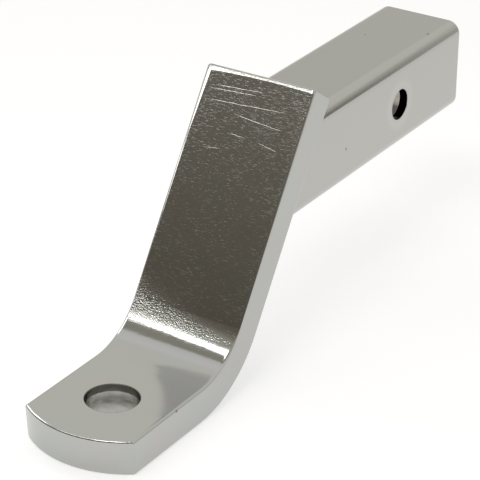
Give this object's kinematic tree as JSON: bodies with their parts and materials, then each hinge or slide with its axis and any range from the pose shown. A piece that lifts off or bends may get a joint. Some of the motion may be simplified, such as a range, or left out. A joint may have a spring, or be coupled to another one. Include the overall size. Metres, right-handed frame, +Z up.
{
  "type": "ball mount",
  "caption": "Chrome-plated drop ball mount: a hollow square shank with a cross pin hole, welded to a bent flat bar whose level end takes a towing ball.",
  "frame": {"origin": "centre of the hitch-pin hole, on the shank's axis", "axes": "+X along the pin hole to the right, +Y back along the shank to its open end, +Z up"},
  "size_m": [0.0636, 0.3369, 0.1404],
  "materials": {
    "chrome_plate": "bright plated steel",
    "chrome_plate_on_weld": "plated weld bead"
  },
  "bodies": {
    "root": {"shank": "chrome_plate", "tongue": "chrome_plate", "weld_bead": "chrome_plate_on_weld"}
  },
  "joints": []
}
